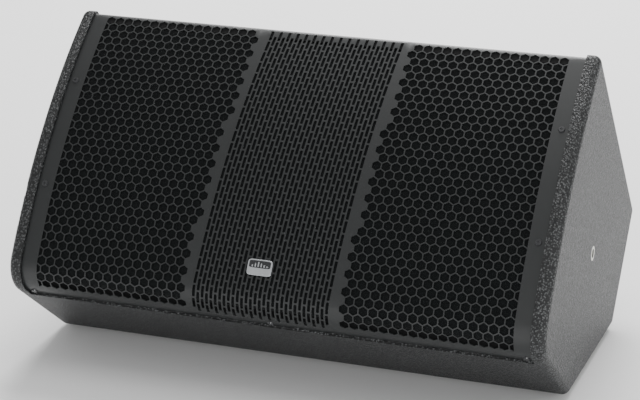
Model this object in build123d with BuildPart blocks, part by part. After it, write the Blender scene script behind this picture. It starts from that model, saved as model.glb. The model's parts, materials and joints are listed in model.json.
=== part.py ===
"""Stage monitor wedge: a 12 inch two-way floor monitor in a textured plywood cabinet.

Row frame: +X to the right along the cabinet, the grille faces -Y and up, +Z up, millimetres.
The origin is on the floor, under the middle of the cabinet's outline.
Places behind the grille are given on the slope: `up` runs from the front lower corner towards
the apex, and `depth` runs square to that, into the cabinet.
"""
import os
from math import asin, atan2, cos, hypot, sin

from build123d import *

os.makedirs("parts", exist_ok=True)

# ---------------------------------------------------------------- driving dimensions
width = 590.0            # over both end panels
board = 15.0             # plywood thickness
foot_height = 4.0        # rubber feet under the floor board

# Side outline of the cabinet: (Y, Z) of each corner before rounding
floor_front = (-90.4, foot_height)
floor_rear = (118.6, foot_height)
rear_corner = (209.1, 115.0)
apex = (-2.4, 351.0)
front_corner = (-215.9, 99.0)
bow = 19.7               # how far the front curve stands out of its chord
front_corner_radius = 33.5
corner_radius = 9.0
edge_round = 8.0         # rounding of the end panels' outer edges

grille_inset = 3.0       # the end panels stand this far proud of the grille
sheet = 1.2              # grille steel
skin_gap = 0.2           # between the grille and the wood under it
seam_depth, seam_gap = 39.5, 0.5   # depth of the seam between grille and chin board
lip_depth = 14.0         # depth to which the grille folds back over the top

baffle_depth = 20.0      # baffle's front face
batten_width = 14.0      # strips under the grille's side margins
rail_low_up = 314.0      # lower edge of the strip under the grille's top

woofer_x, woofer_up = -113.0, 162.5
woofer_radius = 150.0    # frame of the 12 inch driver
cutout_radius = 140.0
woofer_screw_circle, woofer_screw_count, woofer_screw_shank = 144.5, 8, 2.0
woofer_screw_start = 22.5
horn_x, horn_up = 152.0, 205.0
horn_opening, horn_opening_corner = (178.0, 128.0), 12.0
horn_screw_spacing, horn_screw_shank = (188.0, 138.0), 1.6
port_up, port_spacing, port_radius = 58.0, 118.0, 28.0
port_wall, port_length = 3.0, 95.0

handle_share = 0.53      # how far up the rear upper board the handle sits
handle_mouth, handle_corner, handle_deep = (160.0, 96.0), 12.0, 46.0
connector_x = -110.0
connector_mouth, connector_corner, connector_deep = (140.0, 70.0), 8.0, 32.0
dish_clearance = 0.5     # around a dish in its board

# ---------------------------------------------------------------- derived places
half_width = width / 2
inner_half = half_width - board
skin_inset = grille_inset + sheet + skin_gap
baffle_back = baffle_depth + board
slope = atan2(apex[1] - front_corner[1], apex[0] - front_corner[0])
chord = hypot(apex[1] - front_corner[1], apex[0] - front_corner[0])
outward = (0, -sin(slope), cos(slope))
along_slope = (0, cos(slope), sin(slope))
bow_radius = (chord ** 2 / 4 + bow ** 2) / (2 * bow)
bow_centre_depth = bow_radius - bow
grille_radius = bow_radius - grille_inset
cabinet_heart = (0.0, 150.0)   # the mitred joints of the boards point at this line
below_slope, past_apex = -80.0, 420.0   # places up the slope that lie outside the cabinet
above_bow = -60.0                       # a depth that lies outside the bowed front


def on_slope(up, depth):
    """(Y, Z) of a point given up the slope and into the cabinet."""
    return (
        front_corner[0] + up * cos(slope) + depth * sin(slope),
        front_corner[1] + up * sin(slope) - depth * cos(slope),
    )


def slope_plane(x, up, depth):
    """Plane square to the baffle's axis: local X along the cabinet, local Y up the slope."""
    return Plane(origin=(x, *on_slope(up, depth)), x_dir=(1, 0, 0), z_dir=outward)


def grille_plane(x, up):
    """Plane on the grille's bowed outer face, square to it."""
    swing = asin((up - chord / 2) / grille_radius)
    depth = bow_centre_depth - grille_radius * cos(swing)
    return Plane(
        origin=(x, *on_slope(up, depth)),
        x_dir=(1, 0, 0),
        z_dir=(0, -sin(slope - swing), cos(slope - swing)),
    )


def meridian_plane(x, up, depth):
    """Plane through a driver's axis: local X is the radius, local Y points out of the baffle."""
    return Plane(
        origin=(x, *on_slope(up, depth)), x_dir=(1, 0, 0), z_dir=tuple(-v for v in along_slope)
    )


def board_plane(start, end, inset, share, x=0.0):
    """Plane on a straight board's outer face, from one outline corner on to the next, with the
    outline followed from the floor to the rear corner and the apex. Local Y points that way."""
    run_y, run_z = end[0] - start[0], end[1] - start[1]
    length = hypot(run_y, run_z)
    out_y, out_z = run_z / length, -run_y / length
    origin = (
        x,
        start[0] + run_y * share - out_y * inset,
        start[1] + run_z * share - out_z * inset,
    )
    return Plane(origin=origin, x_dir=(-1, 0, 0), z_dir=(0, out_y, out_z))


def beyond(corner, extra=80.0):
    """A point on the line from the cabinet's heart through a corner, past the corner."""
    run_y, run_z = corner[0] - cabinet_heart[0], corner[1] - cabinet_heart[1]
    reach = 1 + extra / hypot(run_y, run_z)
    return (cabinet_heart[0] + run_y * reach, cabinet_heart[1] + run_z * reach)


def wedge_profile(inset=0.0):
    """Side outline of the cabinet, with its bowed front, shrunk evenly by inset."""
    with BuildSketch(mode=Mode.PRIVATE) as outline:
        with BuildLine():
            Polyline(front_corner, floor_front, floor_rear, rear_corner, apex)
            ThreePointArc(apex, on_slope(chord / 2, -bow), front_corner)
        make_face()
        for corner in (floor_front, floor_rear, rear_corner, apex):
            fillet(outline.vertices().sort_by_distance(corner)[0], corner_radius)
        fillet(outline.vertices().sort_by_distance(front_corner)[0], front_corner_radius)
        if inset:
            offset(amount=-inset, kind=Kind.INTERSECTION, mode=Mode.REPLACE)
    return outline.sketch_local


def section(outer, region, inner=None):
    """The part of the outline between two insets that lies inside a region."""
    with BuildSketch(mode=Mode.PRIVATE) as cut:
        add(wedge_profile(outer))
        if inner is not None:
            add(wedge_profile(inner), mode=Mode.SUBTRACT)
        with BuildLine():
            Polyline(*region, close=True)
        make_face(mode=Mode.INTERSECT)
    return cut.sketch_local


def slope_region(*corners):
    """A region whose corners are given as (up, depth)."""
    return [on_slope(up, depth) for up, depth in corners]


def slope_layer(low_up, high_up, shallow, deep):
    """The region between two places up the slope and two depths."""
    return slope_region((low_up, shallow), (high_up, shallow), (high_up, deep), (low_up, deep))


def along_cabinet(profile, start_x, end_x):
    """Add a side profile to the current part, extruded from start_x to end_x."""
    with BuildSketch(Plane.YZ.offset(start_x)) as side_face:
        add(profile)
    extrude(side_face.sketch, amount=end_x - start_x)


def drill(plane, places, radius, length):
    """Cut round holes into the current part, from the plane inwards."""
    with BuildSketch(plane) as holes:
        with Locations(*places):
            Circle(radius)
    extrude(holes.sketch, amount=-length, mode=Mode.SUBTRACT)


def pan_screws(plane, places, head_radius, head_height, shank_radius, length):
    """Add pan-head screws with a cross recess, driven inwards from the plane."""
    with BuildSketch(plane) as heads:
        with Locations(*places):
            Circle(head_radius)
    extrude(heads.sketch, amount=head_height, taper=18)
    with BuildSketch(plane) as shanks:
        with Locations(*places):
            Circle(shank_radius)
    extrude(shanks.sketch, amount=-length)
    with BuildSketch(plane.offset(head_height)) as crosses:
        with Locations(*places):
            Rectangle(head_radius * 1.0, head_radius * 0.24)
            Rectangle(head_radius * 0.24, head_radius * 1.0)
    extrude(crosses.sketch, amount=-head_height * 0.55, mode=Mode.SUBTRACT)


def save(name, built):
    """Label a finished piece and write it as its own STEP file."""
    built.part.label = name
    export_step(built.part, f"parts/{name}.step")


# ---------------------------------------------------------------- cabinet boards
insert_y, insert_z = -4.5, 132.5
insert_flange_radius, insert_body_radius, insert_thread_radius = 8.0, 6.6, 5.0
insert_length = 20.0

side_screw_ups = (111.0, 235.0)
side_screw_x = 272.5
flange_screw_depth = 31.0
flange_screw_xs = (-273.0, 0.0, 273.0)
grille_screw_shank = 1.6


def end_panel(name, side):
    """One end panel; side is -1 for left and +1 for right. Its outer edges are rounded over."""
    with BuildPart() as panel:
        along_cabinet(wedge_profile(), side * inner_half, side * half_width)
        outer_face = panel.faces().sort_by(Axis.X)[-1 if side > 0 else 0]
        fillet(outer_face.edges(), edge_round)
        mouth = Plane(origin=(side * half_width, insert_y, insert_z), z_dir=(side, 0, 0))
        drill(mouth, [(0, 0)], insert_flange_radius, 1.6)
        drill(mouth, [(0, 0)], insert_body_radius, board)
    save(name, panel)


def mount_insert(name, side):
    """Threaded steel insert for a bracket, with its flange let into the end panel."""
    with BuildPart() as insert:
        mouth = Plane(origin=(side * half_width, insert_y, insert_z), z_dir=(side, 0, 0))
        with BuildSketch(mouth):
            Circle(insert_flange_radius)
        extrude(amount=-1.6)
        with BuildSketch(mouth.offset(-1.6)):
            Circle(insert_body_radius)
        extrude(amount=-(insert_length - 1.6))
        drill(mouth, [(0, 0)], insert_thread_radius, insert_length - 2)
    save(name, insert)


for side_name, side in (("left", -1), ("right", 1)):
    end_panel(f"{side_name}_end_panel", side)
    mount_insert(f"{side_name}_mount_insert", side)

foot_radius = 16.0
foot_places = [(x, y) for x in (-235, 235) for y in (-48, 86)]
foot_screw_grip = 11.0
foot_screw_shank = 2.0
floor_top = foot_height + board
standoff_places = [(x, y) for x in (112, 222) for y in (-28, 52)]
standoff_height = 8.0
board_screw_shank = 1.4
board_screw_grip = 8.0

with BuildPart() as bottom_panel:
    region = [cabinet_heart, beyond(floor_front), beyond(floor_rear)]
    along_cabinet(section(0, region, board), -inner_half, inner_half)
    drill(Plane.XY.offset(foot_height + foot_screw_grip), foot_places, foot_screw_shank, foot_screw_grip)
    drill(Plane.XY.offset(floor_top), standoff_places, board_screw_shank, board_screw_grip)
save("bottom_panel", bottom_panel)

with BuildPart() as chin_panel:
    region = [*slope_region((below_slope, seam_depth), (60, seam_depth)), cabinet_heart, beyond(floor_front)]
    along_cabinet(section(0, region, board), -inner_half, inner_half)
    rebate = slope_layer(below_slope, 60, baffle_back, seam_depth)
    along_cabinet(section(skin_inset, rebate, board), -inner_half, inner_half)
save("chin_panel", chin_panel)

chin_run = hypot(front_corner[0] - floor_front[0], front_corner[1] - floor_front[1])
chin_inward = Plane(
    origin=(
        0,
        *(front_corner[i] + (floor_front[i] - front_corner[i]) * flange_screw_depth / chin_run
          for i in (0, 1)),
    ),
    x_dir=(1, 0, 0),
    z_dir=(
        0,
        (floor_front[1] - front_corner[1]) / chin_run,
        -(floor_front[0] - front_corner[0]) / chin_run,
    ),
).offset(-grille_inset)
flange_screw_places = [(x, 0) for x in flange_screw_xs]

port_xs = [horn_x + side * port_spacing / 2 for side in (-1, 1)]

with BuildPart() as baffle:
    region = slope_layer(below_slope, past_apex, baffle_depth, baffle_back)
    along_cabinet(section(skin_inset, region), -inner_half, inner_half)
    front_face = slope_plane(0, 0, baffle_depth)
    drill(front_face, [(woofer_x, woofer_up)], cutout_radius, board)
    drill(front_face, [(x, port_up) for x in port_xs], port_radius + port_wall, board)
    with BuildSketch(front_face):
        with Locations((horn_x, horn_up)):
            RectangleRounded(*horn_opening, horn_opening_corner)
    extrude(amount=-board, mode=Mode.SUBTRACT)
    with BuildSketch(slope_plane(woofer_x, woofer_up, baffle_depth)):
        with PolarLocations(woofer_screw_circle, woofer_screw_count, start_angle=woofer_screw_start):
            Circle(woofer_screw_shank)
    extrude(amount=-board, mode=Mode.SUBTRACT)
    with BuildSketch(slope_plane(horn_x, horn_up, baffle_depth)):
        with GridLocations(*horn_screw_spacing, 2, 2):
            Circle(horn_screw_shank)
    extrude(amount=-board, mode=Mode.SUBTRACT)
    drill(chin_inward, flange_screw_places, grille_screw_shank, 14)
save("baffle", baffle)

handle_plane = board_plane(rear_corner, apex, skin_inset, handle_share)
connector_plane = board_plane(floor_rear, rear_corner, skin_inset, 0.5, connector_x)
dish_screw_radius, dish_screw_reach = 1.6, 13.0
handle_flange, connector_flange = (192.0, 124.0), (166.0, 94.0)
handle_screw_places = [(x, y) for x in (-87, 87) for y in (-52, 52)]
connector_screw_places = [(x, y) for x in (-76, 76) for y in (-40, 40)]


def dish_opening(plane, mouth, corner, screw_places):
    """Cut the opening of a dish into the current board, with the pilot holes of its screws."""
    with BuildSketch(plane) as opening:
        RectangleRounded(*(side + 2 * dish_clearance for side in mouth), corner)
    extrude(opening.sketch, amount=-board, mode=Mode.SUBTRACT)
    drill(plane, screw_places, dish_screw_radius, dish_screw_reach)


with BuildPart() as rear_upper_panel:
    back_region = [
        *slope_region((past_apex, baffle_back), (150, baffle_back)),
        cabinet_heart,
        beyond(rear_corner),
    ]
    along_cabinet(section(skin_inset, back_region, skin_inset + board), -inner_half, inner_half)
    dish_opening(handle_plane, handle_mouth, handle_corner, handle_screw_places)
save("rear_upper_panel", rear_upper_panel)

with BuildPart() as rear_lower_panel:
    region = [cabinet_heart, beyond(floor_rear), beyond(rear_corner)]
    along_cabinet(section(skin_inset, region, skin_inset + board), -inner_half, inner_half)
    dish_opening(connector_plane, connector_mouth, connector_corner, connector_screw_places)
save("rear_lower_panel", rear_lower_panel)

brace_x, brace_up = 47.0, 205.0
brace_section = (18.0, 40.0)
rear_board_depth = 294.5

with BuildPart() as centre_brace:
    with BuildSketch(slope_plane(brace_x, brace_up, baffle_back)):
        Rectangle(*brace_section)
    extrude(amount=-(rear_board_depth - baffle_back - 3))
    inside = section(skin_inset + board, slope_region((0, 0), (400, 0), (400, 330), (0, 330)))
    with BuildSketch(Plane.YZ.offset(brace_x - brace_section[0])):
        add(inside)
    extrude(amount=2 * brace_section[0], mode=Mode.INTERSECT)
save("centre_brace", centre_brace)

# ---------------------------------------------------------------- grille and what holds it
above_baffle = slope_layer(below_slope, past_apex, above_bow, baffle_depth)
under_top = slope_layer(rail_low_up, past_apex, above_bow, baffle_depth)
wrapped = slope_region(
    (below_slope, seam_depth - seam_gap), (chord / 2, seam_depth - seam_gap), (chord / 2, lip_depth),
    (past_apex, lip_depth), (past_apex, above_bow), (below_slope, above_bow),
)
batten_edge = inner_half - batten_width
side_screw_planes = [grille_plane(x, up) for x in (-side_screw_x, side_screw_x) for up in side_screw_ups]
grille_screw_head, grille_screw_head_height = 3.6, 1.6
grille_screw_length = 12.0


def grille_batten(name, side):
    """Curved wooden strip that the grille's side margin is screwed down to."""
    with BuildPart() as batten:
        along_cabinet(section(skin_inset, above_baffle), side * batten_edge, side * inner_half)
        for plane in side_screw_planes:
            drill(plane, [(0, 0)], grille_screw_shank, grille_screw_length)
    save(name, batten)


grille_batten("left_grille_batten", -1)
grille_batten("right_grille_batten", 1)

with BuildPart() as top_grille_rail:
    along_cabinet(section(skin_inset, under_top), -batten_edge, batten_edge)
save("top_grille_rail", top_grille_rail)

with BuildPart() as grille:
    along_cabinet(section(grille_inset, wrapped, grille_inset + sheet), -inner_half + 0.3, inner_half - 0.3)
    for plane in side_screw_planes:
        drill(plane.offset(1), [(0, 0)], grille_screw_shank + 0.1, 6)
    drill(chin_inward.offset(1), flange_screw_places, grille_screw_shank + 0.1, 4)
save("grille", grille)

foam_gap, foam_thickness, foam_low_depth = 0.1, 4.0, 12.0
with BuildPart() as grille_foam:
    foam_region = slope_layer(below_slope, rail_low_up - 1, above_bow, foam_low_depth)
    foam_section = section(skin_inset + foam_gap, foam_region, skin_inset + foam_gap + foam_thickness)
    along_cabinet(foam_section, -batten_edge + 1, batten_edge - 1)
save("grille_foam", grille_foam)

with BuildPart() as grille_screws:
    for plane in side_screw_planes:
        pan_screws(plane, [(0, 0)], grille_screw_head, grille_screw_head_height, grille_screw_shank - 0.05,
                   grille_screw_length - 0.5)
    pan_screws(chin_inward, flange_screw_places, grille_screw_head, grille_screw_head_height,
               grille_screw_shank - 0.05, grille_screw_length - 0.5)
save("grille_screws", grille_screws)

badge_x, badge_up = -11.5, 50.0
badge_width, badge_height, badge_thickness = 27.0, 17.0, 1.6
with BuildPart() as badge:
    with BuildSketch(grille_plane(badge_x, badge_up).offset(0.08)):
        RectangleRounded(badge_width, badge_height, 2.0)
    extrude(amount=badge_thickness)
    chamfer(badge.faces().sort_by(Axis(origin=(0, 0, 0), direction=outward))[-1].edges(), 0.4)
save("badge", badge)

# ---------------------------------------------------------------- feet
foot_recess = 1.6
with BuildPart() as rubber_feet:
    with BuildSketch(Plane.XY.offset(foot_height)):
        with Locations(*foot_places):
            Circle(foot_radius)
    extrude(amount=-foot_height, taper=8)
    drill(Plane.XY.offset(foot_height), foot_places, foot_screw_shank, foot_height)
    drill(Plane.XY.offset(foot_recess), foot_places, 4.2, foot_recess)
save("rubber_feet", rubber_feet)

with BuildPart() as foot_screws:
    with BuildSketch(Plane.XY.offset(foot_recess)):
        with Locations(*foot_places):
            Circle(4.0)
    extrude(amount=-0.9)
    with BuildSketch(Plane.XY.offset(foot_recess)):
        with Locations(*foot_places):
            Circle(foot_screw_shank - 0.05)
    extrude(amount=foot_height - foot_recess + foot_screw_grip - 0.5)
save("foot_screws", foot_screws)


# ---------------------------------------------------------------- handle and connector dish
dish_wall, dish_flange = 3.0, 3.0


def dish(plane, mouth, corner, depth, flange):
    """Moulded dish: a rounded box open at its mouth, with a flange lying on the board."""
    with BuildPart() as body:
        with BuildSketch(plane) as brim:
            RectangleRounded(*flange, corner + 2 * dish_wall)
        extrude(brim.sketch, amount=dish_flange)
        with BuildSketch(plane) as shell:
            RectangleRounded(*mouth, corner)
        extrude(shell.sketch, amount=-depth)
        with BuildSketch(plane.offset(dish_flange)) as hollow:
            RectangleRounded(*(side - 2 * dish_wall for side in mouth), corner - dish_wall)
        extrude(hollow.sketch, amount=-(depth + dish_flange - dish_wall), mode=Mode.SUBTRACT)
    return body.part


bar_radius = 11.0
with BuildPart() as handle_dish:
    add(dish(handle_plane, handle_mouth, handle_corner, handle_deep, handle_flange))
    drill(handle_plane.offset(dish_flange), handle_screw_places, dish_screw_radius + 0.2, dish_flange)
save("handle_dish", handle_dish)

bar_plane = Plane(
    origin=handle_plane.from_local_coords(Vector(0, 0, -bar_radius + dish_flange - 1)),
    x_dir=handle_plane.y_dir,
    z_dir=(1, 0, 0),
)
bar_half = handle_mouth[0] / 2 - dish_wall
with BuildPart() as handle_bar:
    with BuildSketch(bar_plane.offset(-bar_half)):
        RectangleRounded(30, 2 * bar_radius, bar_radius - 1)
    extrude(amount=2 * bar_half)
save("handle_bar", handle_bar)

socket_xs = (-32.0, 32.0)
socket_size, socket_radius = (26.0, 31.0), 12.4
socket_screw_places = [(-9.5, 12.0), (9.5, -12.0)]
dish_floor = connector_plane.offset(-(connector_deep - dish_wall))
with BuildPart() as connector_dish:
    add(dish(connector_plane, connector_mouth, connector_corner, connector_deep, connector_flange))
    drill(connector_plane.offset(dish_flange), connector_screw_places, dish_screw_radius + 0.2, dish_flange)
    drill(dish_floor, [(x, 0) for x in socket_xs], socket_radius, dish_wall)
    drill(dish_floor, [(x + sx, sy) for x in socket_xs for sx, sy in socket_screw_places], 1.4, dish_wall)
save("connector_dish", connector_dish)


def four_pole_socket(name, x):
    """Panel socket for a four-pole speaker plug: plate, round barrel and its keyed core."""
    with BuildPart() as socket:
        with BuildSketch(dish_floor) as plate:
            with Locations((x, 0)):
                RectangleRounded(*socket_size, 3)
        extrude(plate.sketch, amount=2.0)
        with BuildSketch(dish_floor.offset(2.0)) as barrel:
            with Locations((x, 0)):
                Circle(socket_radius - 0.1)
        extrude(barrel.sketch, amount=-22.0)
        with BuildSketch(dish_floor.offset(2.0)) as ring:
            with Locations((x, 0)):
                Circle(socket_radius - 1.6)
                Circle(6.2, mode=Mode.SUBTRACT)
        extrude(ring.sketch, amount=-17.0, mode=Mode.SUBTRACT)
        with BuildSketch(dish_floor.offset(2.0)) as keys:
            with Locations((x, 0)):
                with PolarLocations(6.2, 2, start_angle=90):
                    Rectangle(2.4, 2.2)
        extrude(keys.sketch, amount=-17.0, mode=Mode.SUBTRACT)
        drill(dish_floor.offset(2.0), [(x + sx, sy) for sx, sy in socket_screw_places], 1.4, 2.0)
    save(name, socket)


four_pole_socket("input_socket", socket_xs[0])
four_pole_socket("link_socket", socket_xs[1])

with BuildPart() as socket_screws:
    pan_screws(dish_floor.offset(2.0), [(x + sx, sy) for x in socket_xs for sx, sy in socket_screw_places],
               2.6, 1.4, 1.35, 8)
save("socket_screws", socket_screws)

with BuildPart() as dish_screws:
    for plane, places in ((handle_plane, handle_screw_places), (connector_plane, connector_screw_places)):
        pan_screws(plane.offset(dish_flange), places, 3.8, 2.0, dish_screw_radius - 0.05, 15)
save("dish_screws", dish_screws)

# ---------------------------------------------------------------- woofer
woofer_face = slope_plane(woofer_x, woofer_up, baffle_depth)
woofer_section = meridian_plane(woofer_x, woofer_up, baffle_depth)
woofer_axis = Axis(origin=woofer_face.origin, direction=outward)
flange_top = 5.0
pole_radius, coil_inner, coil_outer, gap_radius = 24.2, 25.3, 27.2, 27.9
cone_lip_radius, surround_rim_radius = 118.5, 133.0


def turned(outline, plane, axis):
    """Revolve a closed outline of (radius, height) points about a driver's axis."""
    with BuildSketch(plane) as half:
        with BuildLine():
            Polyline(*outline, close=True)
        make_face()
    revolve(half.sketch, axis=axis)


def ring(inner, outer, low, high):
    """Outline of a plain ring or disc."""
    return [(inner, low), (outer, low), (outer, high), (inner, high)]


def dome(rim, rim_height, rise, thickness, plane, axis):
    """Add a spherical dome shell; a negative rise makes it bulge away from the baffle's front."""
    sphere = (rim ** 2 + rise ** 2) / (2 * abs(rise))
    turn = 1 if rise > 0 else -1
    centre = rim_height + rise - turn * sphere
    half_angle = asin(rim / sphere)

    def point(radius, angle):
        return (radius * sin(angle), centre + turn * radius * cos(angle))

    inner = sphere - thickness
    with BuildSketch(plane, mode=Mode.PRIVATE) as half:
        with BuildLine():
            ThreePointArc(point(sphere, 0), point(sphere, half_angle / 2), point(sphere, half_angle))
            Line(point(sphere, half_angle), point(inner, half_angle))
            ThreePointArc(point(inner, half_angle), point(inner, half_angle / 2), point(inner, 0))
            Line(point(inner, 0), point(sphere, 0))
        make_face()
    revolve(half.sketch, axis=axis)


with BuildPart() as woofer_basket:
    turned(
        [(woofer_radius, 0), (woofer_radius, flange_top), (133, flange_top), (133, -2), (86, -60), (40, -60),
         (40, -66), (90, -66), (137, -8), (137, 0)],
        woofer_section, woofer_axis,
    )
    with BuildSketch(woofer_face.offset(-9)):
        with PolarLocations(109, 6):
            RectangleRounded(26, 76, 8)
    extrude(amount=-46, mode=Mode.SUBTRACT)
    with BuildSketch(woofer_face.offset(flange_top)):
        with PolarLocations(woofer_screw_circle, woofer_screw_count, start_angle=woofer_screw_start):
            Circle(woofer_screw_shank)
    extrude(amount=-flange_top, mode=Mode.SUBTRACT)
save("woofer_basket", woofer_basket)

with BuildPart() as woofer_top_plate:
    turned(ring(gap_radius, 60, -74, -66), woofer_section, woofer_axis)
save("woofer_top_plate", woofer_top_plate)

with BuildPart() as woofer_magnet:
    turned(ring(45, 80, -94, -74), woofer_section, woofer_axis)
save("woofer_magnet", woofer_magnet)

with BuildPart() as woofer_pole_plate:
    turned(
        [(8, -102), (76, -102), (76, -94), (pole_radius, -94), (pole_radius, -67), (8, -67)],
        woofer_section, woofer_axis,
    )
save("woofer_pole_plate", woofer_pole_plate)

with BuildPart() as woofer_cone:
    turned([(26.3, -46.6), (28.0, -48.0), (118.5, -4.4), (118.5, -2.4)], woofer_section, woofer_axis)
save("woofer_cone", woofer_cone)

with BuildPart() as woofer_dust_cap:
    dome(38.0, -40.6, 13.6, 1.2, woofer_section, woofer_axis)
save("woofer_dust_cap", woofer_dust_cap)

with BuildPart() as woofer_voice_coil:
    turned(
        [(coil_inner, -80), (26.2, -80), (26.2, -77), (coil_outer, -77), (coil_outer, -64),
         (26.2, -64), (26.2, -46.6), (coil_inner, -46.6)],
        woofer_section, woofer_axis,
    )
save("woofer_voice_coil", woofer_voice_coil)

with BuildPart() as woofer_surround:
    with BuildSketch(woofer_section):
        with BuildLine():
            Polyline((139, flange_top), (139, 5.8), (surround_rim_radius, 5.8))
            ThreePointArc((surround_rim_radius, 5.8), (125.6, 9.0), (118.9, -2.0))
            Line((118.9, -2.0), (118.9, -3.2))
            ThreePointArc((118.9, -3.2), (126.0, 8.2), (surround_rim_radius, flange_top))
            Line((surround_rim_radius, flange_top), (139, flange_top))
        make_face()
    revolve(axis=woofer_axis)
save("woofer_surround", woofer_surround)

spider_waves, spider_inner, spider_outer = 5, 28.0, 74.0
wave_step = (spider_outer - spider_inner) / (2 * spider_waves)
wave_points = [
    (spider_outer - i * wave_step, -57.4 + (1.2 if i % 2 else -1.2)) for i in range(2 * spider_waves + 1)
]
with BuildPart() as woofer_spider:
    turned(
        [(84, above_bow), (84, -59.2), (76, -59.2), *[(r, y + 0.7) for r, y in wave_points], (26.5, -56.6),
         (26.5, -57.4), *reversed(wave_points), (76, above_bow)],
        woofer_section, woofer_axis,
    )
save("woofer_spider", woofer_spider)

with BuildPart() as woofer_gasket:
    turned(ring(133.5, 139.5, 5.8, 8.0), woofer_section, woofer_axis)
save("woofer_gasket", woofer_gasket)

with BuildPart() as woofer_screws:
    with BuildSketch(woofer_face.offset(flange_top)):
        with PolarLocations(woofer_screw_circle, woofer_screw_count, start_angle=woofer_screw_start):
            Circle(4.2)
    extrude(amount=2.4, taper=18)
    with BuildSketch(woofer_face.offset(flange_top)):
        with PolarLocations(woofer_screw_circle, woofer_screw_count, start_angle=woofer_screw_start):
            Circle(woofer_screw_shank - 0.05)
    extrude(amount=-19)
save("woofer_screws", woofer_screws)

with BuildPart() as woofer_terminals:
    with BuildSketch(woofer_face.offset(-66)):
        with Locations((85.5, 0)):
            Rectangle(9, 22)
    extrude(amount=-16)
save("woofer_terminals", woofer_terminals)

# ---------------------------------------------------------------- horn and compression driver
horn_face = slope_plane(horn_x, horn_up, baffle_depth)
horn_section = meridian_plane(horn_x, horn_up, baffle_depth)
horn_axis = Axis(origin=horn_face.origin, direction=outward)
horn_flange, horn_plate = (200.0, 150.0), 5.0
horn_length, throat_radius = 104.0, 12.7
driver_radius = 44.0

with BuildPart() as horn:
    with BuildSketch(horn_face):
        RectangleRounded(*horn_flange, 8)
    extrude(amount=horn_plate)
    with BuildSketch(horn_face):
        RectangleRounded(174, 124, 12)
    with BuildSketch(horn_face.offset(-horn_length)):
        Circle(throat_radius + 4)
    loft()
    with BuildSketch(horn_face.offset(-horn_length)):
        Circle(36)
    extrude(amount=-6)
    with BuildSketch(horn_face.offset(horn_plate)):
        RectangleRounded(170, 120, 10)
    with BuildSketch(horn_face.offset(-horn_length - 6)):
        Circle(throat_radius)
    loft(mode=Mode.SUBTRACT)
    with BuildSketch(horn_face.offset(horn_plate)):
        with GridLocations(*horn_screw_spacing, 2, 2):
            Circle(1.8)
    extrude(amount=-horn_plate, mode=Mode.SUBTRACT)
save("horn", horn)

with BuildPart() as horn_screws:
    horn_screw_places = [
        (x * horn_screw_spacing[0] / 2, y * horn_screw_spacing[1] / 2) for x in (-1, 1) for y in (-1, 1)
    ]
    pan_screws(horn_face.offset(horn_plate), horn_screw_places, 3.6, 2.0, horn_screw_shank - 0.05, 18)
save("horn_screws", horn_screws)

driver_back = -(horn_length + 6)
with BuildPart() as driver_front_plate:
    turned(ring(throat_radius, driver_radius, driver_back - 8, driver_back), horn_section, horn_axis)
save("driver_front_plate", driver_front_plate)

with BuildPart() as driver_magnet:
    turned(ring(26, driver_radius, driver_back - 26, driver_back - 8), horn_section, horn_axis)
save("driver_magnet", driver_magnet)

with BuildPart() as driver_pole:
    turned(
        [(throat_radius, driver_back - 8), (24, driver_back - 8), (19.4, driver_back - 14),
         (19.4, driver_back - 31), (16, driver_back - 31)],
        horn_section, horn_axis,
    )
save("driver_pole", driver_pole)

with BuildPart() as driver_top_plate:
    turned(ring(22.2, driver_radius, driver_back - 31, driver_back - 26), horn_section, horn_axis)
save("driver_top_plate", driver_top_plate)

with BuildPart() as driver_phase_plug:
    turned([(0, driver_back - 31), (13.5, driver_back - 31), (11, driver_back - 20), (0, driver_back - 10)],
           horn_section, horn_axis)
save("driver_phase_plug", driver_phase_plug)

with BuildPart() as driver_diaphragm:
    dome(20.9, driver_back - 33, -6.6, 0.6, horn_section, horn_axis)
    turned(ring(20.2, 20.9, driver_back - 33.2, driver_back - 27), horn_section, horn_axis)
save("driver_diaphragm", driver_diaphragm)

with BuildPart() as diaphragm_suspension:
    turned(ring(21.3, 36, driver_back - 32, driver_back - 31), horn_section, horn_axis)
save("diaphragm_suspension", diaphragm_suspension)

with BuildPart() as driver_back_cover:
    turned(
        [(37, driver_back - 31), (driver_radius, driver_back - 31), (driver_radius, driver_back - 46),
         (38, driver_back - 52), (0, driver_back - 52), (0, driver_back - 49), (36, driver_back - 49),
         (37, driver_back - 46)],
        horn_section, horn_axis,
    )
save("driver_back_cover", driver_back_cover)

with BuildPart() as driver_terminals:
    with BuildSketch(horn_face.offset(driver_back - 34)):
        with Locations((0, -driver_radius - 4.5)):
            Rectangle(20, 7)
    extrude(amount=-10)
save("driver_terminals", driver_terminals)


port_rim, port_rim_height = port_radius + 8, 2.5
with BuildPart() as port_tubes:
    for x in port_xs:
        port_section = meridian_plane(x, port_up, baffle_depth)
        port_axis = Axis(origin=port_section.origin, direction=outward)
        turned(
            [(port_radius + port_wall, 0), (port_rim, 0), (port_rim, port_rim_height),
             (port_radius + port_wall, port_rim_height), (port_radius, -4), (port_radius, -port_length),
             (port_radius + port_wall, -port_length)],
            port_section, port_axis,
        )
save("port_tubes", port_tubes)

# ---------------------------------------------------------------- crossover
board_low = floor_top + standoff_height
board_thick = 1.6
board_top = board_low + board_thick
with BuildPart() as crossover_board:
    with BuildSketch(Plane.XY.offset(board_low)):
        with Locations((167, 12)):
            Rectangle(130, 100)
    extrude(amount=board_thick)
    drill(Plane.XY.offset(board_top), standoff_places, board_screw_shank + 0.1, board_thick)
save("crossover_board", crossover_board)

with BuildPart() as crossover_standoffs:
    with BuildSketch(Plane.XY.offset(floor_top)):
        with Locations(*standoff_places):
            Circle(4)
            Circle(board_screw_shank + 0.1, mode=Mode.SUBTRACT)
    extrude(amount=standoff_height)
save("crossover_standoffs", crossover_standoffs)

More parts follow.
